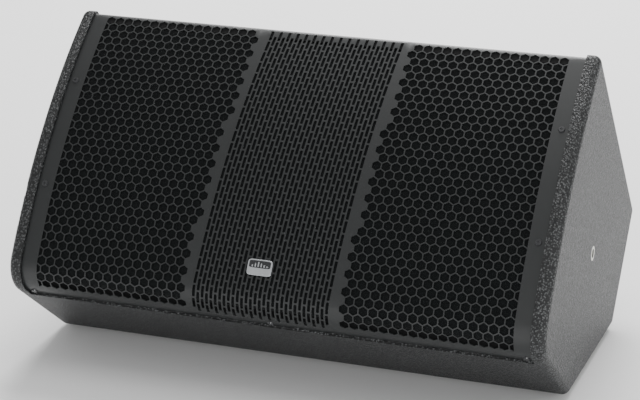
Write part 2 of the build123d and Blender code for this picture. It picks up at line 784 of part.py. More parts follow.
with BuildPart() as crossover_screws:
    pan_screws(Plane.XY.offset(board_top), standoff_places, 3.0, 1.8, board_screw_shank - 0.05,
               standoff_height + board_thick + board_screw_grip - 0.5)
save("crossover_screws", crossover_screws)

coil_places = [(141, -8), (200, -8)]
coil_radius, coil_bore, coil_height = 22.0, 11.0, 18.0
with BuildPart() as crossover_coils:
    with BuildSketch(Plane.XY.offset(board_top)):
        with Locations(*coil_places):
            Circle(coil_radius)
            Circle(coil_bore, mode=Mode.SUBTRACT)
    extrude(amount=coil_height)
save("crossover_coils", crossover_coils)

capacitor_radius, capacitor_length, capacitor_step = 8.5, 32.0, 37.0
with BuildPart() as crossover_capacitors:
    with BuildSketch(Plane.YZ.offset(114)):
        with Locations((38, board_top + capacitor_radius)):
            Circle(capacitor_radius)
    extrude(amount=capacitor_length)
    with Locations((capacitor_step, 0, 0), (2 * capacitor_step, 0, 0)):
        add(crossover_capacitors.part)
save("crossover_capacitors", crossover_capacitors)

resistor_length, resistor_side = 46.0, 8.0
with BuildPart() as crossover_resistors:
    with BuildSketch(Plane.XY.offset(board_top)):
        with Locations((141, 21), (200, 21)):
            Rectangle(resistor_length, resistor_side)
    extrude(amount=resistor_side)
save("crossover_resistors", crossover_resistors)

with BuildPart() as crossover_terminals:
    with BuildSketch(Plane.XY.offset(board_top)):
        with Locations((108, 10)):
            Rectangle(8, 44)
    extrude(amount=12)
save("crossover_terminals", crossover_terminals)

# ---------------------------------------------------------------- damping and leads
pad_thickness = 25.0
with BuildPart() as damping_pads:
    pad_region = slope_region((150, 70), (past_apex, 70), (past_apex, 270), (150, 270))
    pad_low = skin_inset + board
    along_cabinet(section(pad_low, pad_region, pad_low + pad_thickness), -265, -95)
    with BuildSketch(Plane.XY.offset(floor_top)):
        with Locations((-110, 12)):
            Rectangle(300, 130)
    extrude(amount=20)
save("damping_pads", damping_pads)


def lead(route, bend):
    """Twin speaker lead along a route of straight runs and tangent arcs."""
    with BuildLine(mode=Mode.PRIVATE) as path:
        FilletPolyline(*route, radius=bend)
    with BuildSketch(Plane(origin=route[0], z_dir=path.line % 0), mode=Mode.PRIVATE) as cut:
        Circle(lead_radius)
    sweep(cut.sketch, path=path.line)


lead_radius = 2.5
block_x, block_z = 104.0, board_top + 6
woofer_tab = woofer_face.from_local_coords(Vector(90, 0, -74))
driver_tab = horn_face.from_local_coords(Vector(0, -driver_radius - 8, driver_back - 39))
driver_below = horn_face.from_local_coords(Vector(0, -driver_radius - 30, driver_back - 39))
socket_back = dish_floor.from_local_coords(Vector(socket_xs[0], 0, -20))
socket_behind = dish_floor.from_local_coords(Vector(socket_xs[0], 0, -50))

with BuildPart() as speaker_leads:
    lead([
        tuple(woofer_tab),
        (20, woofer_tab.Y, woofer_tab.Z),
        (44, -24, 95),
        (66, -4, block_z),
        (block_x, -4, block_z),
    ], 14)
    lead([
        tuple(driver_tab),
        tuple(driver_below),
        (108, 10, board_top + 44),
        (108, 10, board_top + 12),
    ], 9)
    lead([
        tuple(socket_back),
        tuple(socket_behind),
        (20, 60, 90),
        (72, 24, block_z),
        (block_x, 24, block_z),
    ], 10)
save("speaker_leads", speaker_leads)
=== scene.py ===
"""Looks of a stage monitor wedge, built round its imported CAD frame.

Everything is in metres in the frame's own axes: +X to the right along the cabinet, the grille faces
-Y and up, +Z up. The side profile lives in the Y, Z plane. Places on the grille are given as x along
the cabinet and s, the distance along the grille's outer face from its lower edge, round the front
bend, up the bowed front and over the top to the folded lip.
"""
import json

import bmesh
import bpy
import numpy as np
from bpy.props import FloatProperty, FloatVectorProperty, IntProperty, PointerProperty
from bpy.types import Operator, Panel, PropertyGroup
from mathutils import Matrix, Vector
from mathutils.geometry import delaunay_2d_cdt


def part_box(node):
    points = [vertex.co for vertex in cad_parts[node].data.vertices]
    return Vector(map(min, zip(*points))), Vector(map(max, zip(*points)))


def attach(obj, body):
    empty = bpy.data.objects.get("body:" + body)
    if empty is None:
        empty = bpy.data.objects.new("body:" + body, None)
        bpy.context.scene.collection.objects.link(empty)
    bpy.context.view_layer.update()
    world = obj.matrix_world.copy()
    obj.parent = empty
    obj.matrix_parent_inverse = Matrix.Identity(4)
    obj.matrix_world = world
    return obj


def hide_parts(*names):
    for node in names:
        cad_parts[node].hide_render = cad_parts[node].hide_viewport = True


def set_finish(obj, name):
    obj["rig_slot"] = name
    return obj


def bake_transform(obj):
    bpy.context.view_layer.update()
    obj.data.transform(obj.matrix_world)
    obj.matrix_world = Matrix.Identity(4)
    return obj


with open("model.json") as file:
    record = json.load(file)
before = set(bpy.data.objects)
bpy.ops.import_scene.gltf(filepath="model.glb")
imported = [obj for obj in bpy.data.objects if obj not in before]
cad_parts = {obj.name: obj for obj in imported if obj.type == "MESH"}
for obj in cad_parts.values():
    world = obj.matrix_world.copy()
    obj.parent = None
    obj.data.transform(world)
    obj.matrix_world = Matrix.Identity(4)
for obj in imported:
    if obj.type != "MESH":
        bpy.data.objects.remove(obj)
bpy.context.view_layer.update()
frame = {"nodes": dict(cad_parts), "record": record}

MM = 0.001
RIM_STEP = 5 * MM  # between extra places down the grille's side margins
RIM_WIDTH = 8 * MM  # from the grille's side edge to the second row of them
BADGE_THICKNESS = 1.6 * MM
COIL_WIRE = 1.5 * MM

bl_info = {
    "name": "Stage monitor wedge",
    "version": (1, 0, 0),
    "blender": (4, 5, 0),
    "location": "3D View > Sidebar > Wedge",
    "description": "Perforated grille, foam, wadding, badge, finishes and studio of a floor monitor",
    "category": "Add Mesh",
}


# ---------------------------------------------------------------- properties
def length(name, text, value):
    """A size in metres that a user can change."""
    return FloatProperty(name=name, description=text, default=value, unit="LENGTH", precision=4)


def corner(name, text, y, z):
    """A corner of the side profile as Y and Z, in metres."""
    return FloatVectorProperty(
        name=name, description=text, default=(y, z), size=2, unit="LENGTH", precision=4
    )


def colour(name, text, *rgb):
    """A linear base colour."""
    return FloatVectorProperty(
        name=name, description=text, default=rgb, size=3, subtype="COLOR", min=0.0, max=1.0
    )


class WedgeProfile(PropertyGroup):
    """Side profile of the cabinet and the way the grille lies on it."""

    floor_front: corner("Floor front", "Corner of chin and floor boards", -0.0904, 0.004)
    front_corner: corner("Front corner", "Corner of chin and bowed front", -0.2159, 0.099)
    apex: corner("Apex", "Top corner of front and rear", -0.0024, 0.351)
    rear_corner: corner("Rear corner", "Corner of the two rear boards", 0.2091, 0.115)
    bow: length("Bow", "How far the front curve stands out of its chord", 0.0197)
    front_radius: length("Front bend", "Rounding of the front corner", 0.0335)
    top_radius: length("Top bend", "Rounding of the apex", 0.009)
    inset: length("Inset", "How far the end panels stand proud of the grille", 0.003)
    sheet: length("Sheet", "Thickness of the grille steel", 0.0012)
    seam_depth: length("Seam depth", "Depth of the grille's lower edge below the slope", 0.039)
    lip_depth: length("Lip depth", "Depth to which the grille folds over the top", 0.014)
    foam_gap: length("Foam gap", "Space between steel and foam", 0.0003)
    foam: length("Foam", "Thickness of the foam behind the grille", 0.004)


class WedgeHoles(PropertyGroup):
    """The two hole patterns of the grille."""

    hex_pitch: length("Hexagon pitch", "Distance between neighbouring hexagons", 0.0105)
    hex_bar: length("Hexagon bar", "Steel left between two hexagons", 0.00135)
    hex_margin: length("Side margin", "Plain steel outside the hexagons, on each side", 0.0175)
    hex_columns: IntProperty(name="Columns", description="Most hexagons in a row", default=20, min=1)
    hex_rows: IntProperty(name="Rows", description="Rows of hexagons", default=36, min=1)
    hex_top: length("Top row", "From the lower edge to the highest row, along the steel", 0.3445)
    slot_pitch: length("Slot pitch", "Distance between columns of slots", 0.0049)
    slot_columns: IntProperty(name="Slot columns", description="Columns of slots", default=31, min=1)
    slot_width: length("Slot width", "Width of a slot", 0.0031)
    slot_step: length("Slot step", "Distance between slots of one column", 0.0143)
    slot_bar: length("Slot bar", "Steel left between slots of one column", 0.0018)
    slot_rows: IntProperty(name="Slot rows", description="Slots in a column", default=23, min=1)
    slot_corner: length("Slot corner", "Cut of a slot's corners", 0.0006)
    strip: length("Strip", "Plain steel between the hexagons and the slots", 0.0065)
    lean: length("Lean", "How far the top of the slots is moved towards +X from the bottom", 0.0150)


class WedgeColours(PropertyGroup):
    """Base colours of the finishes seen from outside."""

    coat: colour("Coat", "Textured paint of the cabinet", 0.010, 0.0106, 0.011)
    # The tips' colour is a painted highlight: a far lighter colour laid on the pebbles' tops in place of
    # their glints.
    coat_tip_highlight: colour("Coat tips", "Tops of the paint's pebbles", 0.135, 0.141, 0.143)
    steel: colour("Grille", "Powder coat of the grille", 0.014, 0.0155, 0.0158)
    foam: colour("Foam", "Foam behind the grille", 0.004, 0.0052, 0.0055)
    plate: colour("Badge", "Satin plate of the badge", 0.62, 0.64, 0.66)
    enamel: colour("Badge field", "Dark field of the badge", 0.012, 0.013, 0.015)
    floor: colour("Floor", "Plain pale floor", 0.93, 0.93, 0.93)


class WedgeStudio(PropertyGroup):
    """Camera and lights."""

    camera_place: FloatVectorProperty(
        name="Camera", description="Where the camera stands", default=(0.7395, -2.0655, 0.8976),
        size=3, unit="LENGTH", precision=4,
    )
    azimuth: FloatProperty(
        name="Azimuth", description="Turn of the view from straight ahead", default=np.radians(20.06),
        unit="ROTATION",
    )
    elevation: FloatProperty(
        name="Elevation", description="How steeply the view looks down", default=np.radians(18.66),
        unit="ROTATION",
    )
    lens: FloatProperty(name="Lens", description="Focal length on a 36 mm frame", default=117.93,
                        unit="CAMERA")
    key: FloatProperty(name="Key", description="Power of the key light in watts", default=27.0)
    side: FloatProperty(name="Side", description="Power of the right hand light in watts", default=9.0)
    back: FloatProperty(name="Back", description="Power of the light behind in watts", default=230.0)
    top: FloatProperty(name="Top", description="Power of the overhead light in watts", default=22.0)
    sky: FloatProperty(name="Sky", description="Strength of the pale surroundings", default=0.6)


# ---------------------------------------------------------------- mesh helpers
def new_piece(name, points, faces, body="cabinet", slot=None, smooth_below=None):
    """Make a mesh object from whole arrays of points and faces, riding on a body if one is named.

    Edges that turn by less than smooth_below radians are shaded smooth."""
    mesh = bpy.data.meshes.new(name)
    mesh.from_pydata(points.tolist(), [], [face.tolist() for group in faces for face in group])
    mesh.validate()
    if smooth_below is not None:
        mesh.shade_smooth()
        mesh.set_sharp_from_angle(angle=smooth_below)
    piece = bpy.data.objects.new(name, mesh)
    bpy.context.scene.collection.objects.link(piece)
    if body:
        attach(piece, body)
    if slot:
        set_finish(piece, slot)
    return piece


def grid_faces(rows, columns, closed_rows=False):
    """Quads of a grid of points stored row by row; closed_rows joins each row's end to its start."""
    last = columns if closed_rows else columns - 1
    r, c = np.meshgrid(np.arange(rows - 1), np.arange(last), indexing="ij")
    here, right = r * columns + c, r * columns + (c + 1) % columns
    return np.stack([here, right, right + columns, here + columns], -1).reshape(-1, 4)


def unit(vector):
    """A vector divided by its length."""
    return vector / np.linalg.norm(vector)


def ripple(points, scale, seed):
    """Smooth noise in -1..1 as a sum of six sine waves with seeded directions and phases."""
    draw = np.random.default_rng(seed)
    waves = draw.normal(size=(6, points.shape[-1])) * scale
    phases = draw.uniform(0, 2 * np.pi, 6)
    return np.sin(points @ waves.T + phases).mean(-1) * 1.6


# ---------------------------------------------------------------- side profile
class GrillePath:
    """The grille's outer face from the side: a chin line, three arcs and a lip line.

    The bow is an arc of radius (chord^2 / 4 + bow^2) / (2 bow). A bend of radius r that meets it
    smoothly has its centre at the bow's radius less r from the bow's centre, and at r inside the
    straight board next to it. The outward normal turns steadily clockwise along the path, so a
    point on an arc is its centre plus its radius times the normal."""

    def __init__(self, sizes):
        floor_front, front, apex, rear = (
            np.array(getattr(sizes, name)) for name in ("floor_front", "front_corner", "apex", "rear_corner")
        )
        chord = np.linalg.norm(apex - front)
        up = unit(apex - front)
        out = np.array([-up[1], up[0]])
        radius = (chord ** 2 / 4 + sizes.bow ** 2) / (2 * sizes.bow)
        centre = (front + apex) / 2 - out * (radius - sizes.bow)
        chin, rear_run = unit(front - floor_front), unit(rear - apex)
        chin_out, rear_out = np.array([-chin[1], chin[0]]), np.array([-rear_run[1], rear_run[0]])
        low = self.bend_centre(centre, radius, floor_front, chin, chin_out, sizes.front_radius, 1)
        high = self.bend_centre(centre, radius, apex, rear_run, rear_out, sizes.top_radius, -1)
        angles = [self.angle(v) for v in (chin_out, low - centre, high - centre, rear_out)]
        self.arcs = [
            (low, sizes.front_radius - sizes.inset, angles[0], angles[1]),
            (centre, radius - sizes.inset, angles[1], angles[2]),
            (high, sizes.top_radius - sizes.inset, angles[2], angles[3]),
        ]
        chin_end = low + chin_out * self.arcs[0][1]
        lip_start = high + rear_out * self.arcs[2][1]
        self.chin = (chin_end, chin, chin_out)
        self.lip = (lip_start, rear_run, rear_out)
        chin_length = (sizes.seam_depth - (front - chin_end) @ out) / (chin @ out)
        lip_length = (sizes.lip_depth - (front - lip_start) @ out) / -(rear_run @ out)
        steps = [chin_length, *(r * (a - b) for _, r, a, b in self.arcs), lip_length]
        self.joints = np.concatenate([[0.0], np.cumsum(steps)])
        self.length = self.joints[-1]

    @staticmethod
    def angle(vector):
        """Angle of a vector in the Y, Z plane, from 0 to a full turn."""
        return np.arctan2(vector[1], vector[0]) % (2 * np.pi)

    @staticmethod
    def bend_centre(centre, radius, start, run, out, bend, sign):
        """Where the line at `bend` inside a board crosses the circle of the bow's radius less `bend`."""
        base = start - out * bend - centre
        half = base @ run
        root = np.sqrt(half ** 2 - base @ base + (radius - bend) ** 2)
        return centre + base + run * (-half + sign * root)

    def at(self, s, inside=0.0):
        """(Y, Z) and outward normal at distances s, moved inwards along the normal by `inside`."""
        s = np.asarray(s, float)
        y, z, ny, nz = (np.zeros_like(s) for _ in range(4))
        for index in range(5):
            here = (s >= self.joints[index]) if index else np.ones_like(s, bool)
            if index in (0, 4):
                origin, run, out = self.chin if index == 0 else self.lip
                t = s - (self.joints[1] if index == 0 else self.joints[4])
                place = (origin[0] + t * run[0], origin[1] + t * run[1])
                normal = (np.full_like(s, out[0]), np.full_like(s, out[1]))
            else:
                middle, radius, start, _ = self.arcs[index - 1]
                turn = start - (s - self.joints[index]) / radius
                normal = (np.cos(turn), np.sin(turn))
                place = (middle[0] + radius * normal[0], middle[1] + radius * normal[1])
            for target, value in zip((y, z, ny, nz), (*place, *normal)):
                target[here] = value[here]
        return y - ny * inside, z - nz * inside, ny, nz

    def surface(self, x, s, inside=0.0):
        """Points of the bent sheet over places (x, s)."""
        y, z, _, _ = self.at(s, inside)
        return np.stack([np.broadcast_to(x, y.shape), y, z], -1)


# ---------------------------------------------------------------- grille
def hexagon_outline(holes, cut=False):
    """Corners of one hexagonal hole about its centre, a point towards +s, anticlockwise.

    The six corners stand every 60 degrees at (pitch - bar) / sqrt(3). A cut hexagon is what is left
    of one to the right of the line half a bar past its centre."""
    radius = (holes.hex_pitch - holes.hex_bar) / np.sqrt(3)
    turns = np.radians(np.arange(30, 390, 60))
    whole = np.stack([radius * np.cos(turns), radius * np.sin(turns)], -1)
    if not cut:
        return whole
    edge = holes.hex_bar / 2
    height = radius - edge / np.sqrt(3)
    half = radius / 2
    side = radius * np.sqrt(3) / 2
    return np.array([[edge, -height], [side, -half], [side, half], [edge, height]])


def slot_outline(holes):
    """Corners of one slot about its centre: a rectangle with cut corners and split long sides."""
    w, h, c = holes.slot_width / 2, (holes.slot_step - holes.slot_bar) / 2, holes.slot_corner
    third = (h - c) / 3
    right = [[w, -h + c], [w, -third], [w, third], [w, h - c], [w - c, h]]
    left = [[-w + c, h], [-w, h - c], [-w, third], [-w, -third], [-w, -h + c], [-w + c, -h]]
    return np.array([*right, *left, [w - c, -h]])


def hole_loops(holes, half_width):
    """All holes of the grille as a list of arrays (count, corners, 2) of places (x, s).

    Rows of hexagons are pitch * sqrt(3) / 2 apart, every other one moved by half a pitch and begun
    with a cut hexagon. They end a strip short of the band of slots, and the right hand zone starts
    from the other edge. Columns of slots are a slot pitch apart, every other one moved by half a
    step, and the band leans: its x grows by lean * (s - middle) / height."""
    pitch = holes.hex_pitch
    rows = holes.hex_top - np.arange(holes.hex_rows) * pitch * np.sqrt(3) / 2
    first = -half_width + holes.hex_margin - holes.hex_bar / 2
    odd = np.arange(holes.hex_rows) % 2
    middle, height = (rows[0] + rows[-1]) / 2, rows[0] - rows[-1]
    column, row = np.meshgrid(np.arange(holes.hex_columns), np.arange(holes.hex_rows))
    x = first + pitch / 2 + (column + odd[row] / 2) * pitch
    centres = np.stack([x, rows[row]], -1).reshape(-1, 2)
    cut_rows = rows[odd == 1]
    cuts = np.stack([np.full_like(cut_rows, first), cut_rows], -1)
    band = (holes.slot_columns - 1) / 2 * holes.slot_pitch + holes.slot_width / 2
    groups = []
    for side in (1, -1):
        lean = side * holes.lean * (centres[:, 1] - middle) / height
        kept = centres[centres[:, 0] + pitch / 2 < lean - band - holes.strip]
        zone = [kept[:, None] + hexagon_outline(holes), cuts[:, None] + hexagon_outline(holes, cut=True)]
        groups += zone if side > 0 else [(loops * np.array([-1, 1]))[:, ::-1] for loops in zone]
    column, row = np.meshgrid(np.arange(holes.slot_columns), np.arange(holes.slot_rows))
    x = (column - (holes.slot_columns - 1) / 2) * holes.slot_pitch
    top = rows[0] + pitch / np.sqrt(3) - holes.slot_step / 2
    s = top - (row + (column % 2) / 2) * holes.slot_step
    slots = np.stack([x, s], -1).reshape(-1, 2)[:, None] + slot_outline(holes)
    slots[..., 0] += holes.lean * (slots[..., 1] - middle) / height
    return [*groups, slots]


def sheet_lines(path, loops, half_width):
    """Extra places (x, s) on the plain steel, as rows of constant s that run edge to edge.

    They are close together where the steel bends sharply and sparse elsewhere, and none of them
    crosses a hole."""
    low = min(group[..., 1].min() for group in loops)
    high = max(group[..., 1].max() for group in loops)
    joints = path.joints
    bend = np.arange(joints[1], low - 1.5 * MM, 3 * MM)
    top = np.arange(high + 2 * MM, joints[3] - 1 * MM, 6 * MM)
    roll = np.linspace(max(joints[3], high + 1.5 * MM), joints[4], 9)
    rows = np.concatenate([[0, joints[1] / 2], bend, top, roll, [path.length]])
    x = np.linspace(-half_width, half_width, 57)
    return x, rows


def perforated_sheet(path, holes, half_width, thickness):
    """The bent steel sheet with all its holes, as points and faces.

    The flat places (x, s) of hole corners and plain rows are joined into triangles, and those inside
    a hole are left out. The front face takes them onto the path, the back face onto the path moved
    inwards by the thickness, and each hole's edge and the rim get a wall between the two."""
    loops = hole_loops(holes, half_width)
    x, rows = sheet_lines(path, loops, half_width)
    grid = np.stack(np.meshgrid(x, rows), -1).reshape(-1, 2)
    below, above = rows[rows < holes.hex_top].max(), rows[rows > holes.hex_top].min()
    between = np.arange(below + RIM_STEP, above, RIM_STEP)
    edge = np.array([-half_width, -half_width + RIM_WIDTH])
    margin = np.stack(np.meshgrid(np.concatenate([edge, -edge[::-1]]), between), -1).reshape(-1, 2)
    offset, hole = len(grid) + len(margin), 0
    flat, owner, rings = [grid, margin], [np.full(offset, -1)], []
    for group in loops:
        count, corners = group.shape[:2]
        flat.append(group.reshape(-1, 2))
        owner.append(np.repeat(np.arange(hole, hole + count), corners))
        index = offset + np.arange(count * corners).reshape(count, corners)
        rings.append(np.stack([index, np.roll(index, -1, axis=1)], -1).reshape(-1, 2))
        offset += count * corners
        hole += count
    flat, owner, rings = np.concatenate(flat), np.concatenate(owner), np.concatenate(rings)
    index = np.arange(len(grid)).reshape(len(rows), len(x))
    lines = np.stack([index[:, :-1], index[:, 1:]], -1).reshape(-1, 2)
    edges = np.concatenate([rings, lines])
    scale = 1 / MM
    result = delaunay_2d_cdt(
        [Vector(p) for p in flat * scale], edges.tolist(), [], 0, 1e-5, True
    )
    places = np.array([tuple(v) for v in result[0]]) / scale
    triangles = np.array(result[2])
    source = np.array([ids[0] for ids in result[3]])
    kept_owner = owner[source][triangles]
    in_hole = (kept_owner[:, 0] >= 0) & (kept_owner == kept_owner[:, :1]).all(1)
    triangles = triangles[~in_hole]
    a, b, c = (places[triangles[:, k]] for k in range(3))
    turn = (b[:, 0] - a[:, 0]) * (c[:, 1] - a[:, 1]) - (b[:, 1] - a[:, 1]) * (c[:, 0] - a[:, 0])
    triangles = np.where(turn[:, None] > 0, triangles, triangles[:, ::-1])
    front = path.surface(places[:, 0], places[:, 1])
    back = path.surface(places[:, 0], places[:, 1], thickness)
    count = len(places)
    walls = rim_edges(triangles)
    quads = np.stack([walls[:, 1], walls[:, 0], walls[:, 0] + count, walls[:, 1] + count], -1)
    return np.concatenate([front, back]), [triangles, triangles[:, ::-1] + count, quads]


def rim_edges(triangles):
    """Directed edges that only one triangle has."""
    edges = np.concatenate([triangles[:, [0, 1]], triangles[:, [1, 2]], triangles[:, [2, 0]]])
    size = edges.max() + 1
    forward, reverse = edges[:, 0] * size + edges[:, 1], edges[:, 1] * size + edges[:, 0]
    return edges[~np.isin(forward, reverse)]


# ---------------------------------------------------------------- foam and wadding
def foam_sheet(path, sizes, box):
    """Foam behind the grille: a closed slab on the path, moved inwards by the steel and a gap.

    Its thickness over x and s is the full one times (1 - |u|^40)^(1/4) for both ways across, so the
    edges are rounded, and both faces ripple by a twentieth of it."""
    middle = sizes.sheet + sizes.foam_gap + sizes.foam * 0.5
    trial = np.linspace(0, path.joints[3], 2000)
    low, high = np.interp((box[0].z + 1 * MM, box[1].z - 1 * MM), path.at(trial, middle)[1], trial)
    u, v = np.meshgrid(np.linspace(-1, 1, 161), np.linspace(-1, 1, 101))
    x, s = u * box[1].x, low + (v + 1) / 2 * (high - low)
    round_off = ((1 - np.abs(u) ** 40) * (1 - np.abs(v) ** 40)) ** 0.25
    noise = ripple(np.stack([x, s], -1), 900, 4) * sizes.foam * 0.05
    half = sizes.foam * 0.42 * round_off
    front = path.surface(x, s, middle - half + noise * round_off)
    back = path.surface(x, s, middle + half + noise * round_off)
    return slab(front, back)


def slab(front, back):
    """Close two grids of points that share their rim into one shell, front facing out."""
    rows, columns = front.shape[:2]
    count = rows * columns
    faces = grid_faces(rows, columns)
    index = np.arange(count).reshape(rows, columns)
    rim = np.concatenate([index[0, :-1], index[:-1, -1], index[-1, :0:-1], index[:0:-1, 0]])
    after = np.roll(rim, -1)
    walls = np.stack([after, rim, rim + count, after + count], -1)
    points = np.concatenate([front.reshape(-1, 3), back.reshape(-1, 3)])
    return points, [faces, faces[:, ::-1] + count, walls]


def wadding_places(node):
    """Origin, three directions and size of each closed solid in the wadding's node.

    The solids are the mesh's loose parts. Each one's own directions are X, the longer of its two
    other principal directions, and the one square to both, pointing at the cabinet's middle."""
    mesh = bmesh.new()
    mesh.from_mesh(node.data)
    bmesh.ops.remove_doubles(mesh, verts=mesh.verts, dist=0.01 * MM)
    mesh.verts.ensure_lookup_table()
    solids, seen = [], set()
    for start in mesh.verts:
        if start.index in seen:
            continue
        stack, solid = [start], []
        seen.add(start.index)
        while stack:
            vertex = stack.pop()
            solid.append(tuple(vertex.co))
            for edge in vertex.link_edges:
                other = edge.other_vert(vertex)
                if other.index not in seen:
                    seen.add(other.index)
                    stack.append(other)
        solids.append(np.array(solid))
    mesh.free()
    solids.sort(key=lambda points: -points[:, 2].max())
    return [lying_pad(points) for points in solids]


def lying_pad(points):
    """Origin, directions and size of a pad that fills a prism along X."""
    middle = (points.min(0) + points.max(0)) / 2
    flat = points[:, 1:] - points[:, 1:].mean(0)
    _, _, axes = np.linalg.svd(flat, full_matrices=False)
    across, lift = (np.array([0, *axis]) for axis in axes)
    inward = np.array([0, 0.0, 0.16]) - middle
    if lift @ inward < 0:
        lift = -lift
    along = np.cross(across, lift)
    reach = [(points - middle) @ axis for axis in (along, across, lift)]
    origin = middle + across * (reach[1].min() + reach[1].max()) / 2 + lift * reach[2].min()
    return origin, along, across, lift, [np.ptp(values) for values in reach]


def wadding_pad(origin, along, across, lift, size, seed):
    """A loose wadding pad lying on a board: a slab whose top swells between its corners.

    Its height at (u, v) in -1..1 is the full one times (1 - u^8)^(1/2) (1 - v^8)^(1/2), with tufts
    of seeded ripple, and its outline pulls in a little between the corners."""
    u, v = np.meshgrid(np.linspace(-1, 1, 64), np.linspace(-1, 1, 48))
    pull_u, pull_v = 1 - 0.03 * (1 - v ** 2), 1 - 0.03 * (1 - u ** 2)
    crown = np.sqrt((1 - u ** 8) * (1 - v ** 8))
    tufts = 0.84 + 0.10 * ripple(np.stack([u * size[0], v * size[1]], -1), 55, seed)
    height = size[2] * (0.06 + 0.90 * crown * tufts)
    base = (
        origin
        + along * (u * pull_u * size[0] / 2)[..., None]
        + across * (v * pull_v * size[1] / 2)[..., None]
    )
    return slab(base + lift * height[..., None], base + lift * 0.3 * MM)


# ---------------------------------------------------------------- badge
def badge_frame(box, path):
    """Middle, X direction, upward direction and outward normal of the badge's face."""
    low, high = np.array(box[0]), np.array(box[1])
    middle = (low + high) / 2
    trial = np.linspace(path.joints[2], path.joints[3], 4000)
    y, z, ny, nz = path.at(trial)
    nearest = np.argmin(np.hypot(y - middle[1], z - middle[2]))
    normal = np.array([0, ny[nearest], nz[nearest]])
    return middle, np.array([1.0, 0, 0]), np.cross(normal, [1.0, 0, 0]), normal


def cushioned_plate(frame_of, size, place, low, high, corner_power, edge):
    """A plate with a rounded outline and softly rolled edges.

    Rings of points follow the superellipse |x / a|^n + |y / b|^n = 1 of half sizes a and b. From the
    rim they rise by high - low along a quarter circle of radius `edge`, then close on the middle."""
    middle, right, up, normal = frame_of
    turns = np.linspace(0, 2 * np.pi, 96, endpoint=False)
    power = 2 / corner_power
    outline = np.stack([
        np.sign(np.cos(turns)) * np.abs(np.cos(turns)) ** power,
        np.sign(np.sin(turns)) * np.abs(np.sin(turns)) ** power,
    ], -1)
    swing = np.radians(np.linspace(0, 90, 6))
    insets = np.concatenate([[0.0], edge * (1 - np.cos(swing))])
    heights = np.concatenate([[low], high - edge + edge * np.sin(swing)])
    shares = np.array([0.66, 0.33])
    half = np.array(size) / 2
    rings = [(outline * (half - inset), height) for inset, height in zip(insets, heights)]
    rings += [(outline * (half - edge) * share, high) for share in shares]
    points = np.concatenate([
        middle + right * (flat[:, :1] + place[0]) + up * (flat[:, 1:] + place[1]) + normal * height
        for flat, height in rings
    ])
    caps = np.array([
        middle + right * place[0] + up * place[1] + normal * height for height in (low, high)
    ])
    count, rows = len(turns), len(rings)
    index = np.arange(count)
    after = (index + 1) % count
    bottom = np.stack([after, index, np.full(count, rows * count)], -1)
    top = np.stack([index, after, np.full(count, rows * count + 1)], -1)
    top[:, :2] += (rows - 1) * count
    return np.concatenate([points, caps]), [grid_faces(rows, count, True), bottom, top]


def joined(parts):
    """Several closed shells as one array of points and one list of faces."""
    points, faces, first = [], [], 0
    for part_points, part_faces in parts:
        points.append(part_points)
        faces.extend(group + first for group in part_faces)
        first += len(part_points)
    return np.concatenate(points), faces


# ---------------------------------------------------------------- suspensions
SUSPENSIONS = (
    ("woofer_surround", "woofer_moving"),
    ("woofer_spider", "woofer_moving"),
    ("diaphragm_suspension", "driver_moving"),
)


# ---------------------------------------------------------------- crossover windings
def winding(middle, inner, outer, low, high, wire):
    """A wound coil standing on the crossover board, as a closed ring.

    Its section is a rectangle with every side bulging by |sin| once for each wire, so turns show on
    the bore, the ends and the outside, and the ring is that section carried round a circle."""
    def side(start, end):
        """Places along one side of the section, with its wires standing out."""
        start, end = np.array(start), np.array(end)
        run = np.linalg.norm(end - start)
        turns = max(2, round(run / wire))
        t = np.linspace(0, 1, turns * 4, endpoint=False)
        out = np.array([(end - start)[1], -(end - start)[0]]) / run
        rise = wire * 0.35 * (np.abs(np.sin(np.pi * turns * t)) - 1)
        return start + t[:, None] * (end - start) + rise[:, None] * out
    corners = [(inner, low), (outer, low), (outer, high), (inner, high)]
    section = np.concatenate([side(a, b) for a, b in zip(corners, corners[1:] + corners[:1])])
    turns = np.linspace(0, 2 * np.pi, 120, endpoint=False)
    points = np.stack([
        middle[0] + np.cos(turns)[:, None] * section[:, 0],
        middle[1] + np.sin(turns)[:, None] * section[:, 0],
        np.broadcast_to(section[:, 1], (len(turns), len(section))),
    ], -1)
    closed = np.concatenate([points, points[:1]])
    faces = grid_faces(len(turns) + 1, len(section), True)[:, ::-1] % (len(turns) * len(section))
    return closed[:-1].reshape(-1, 3), [faces]


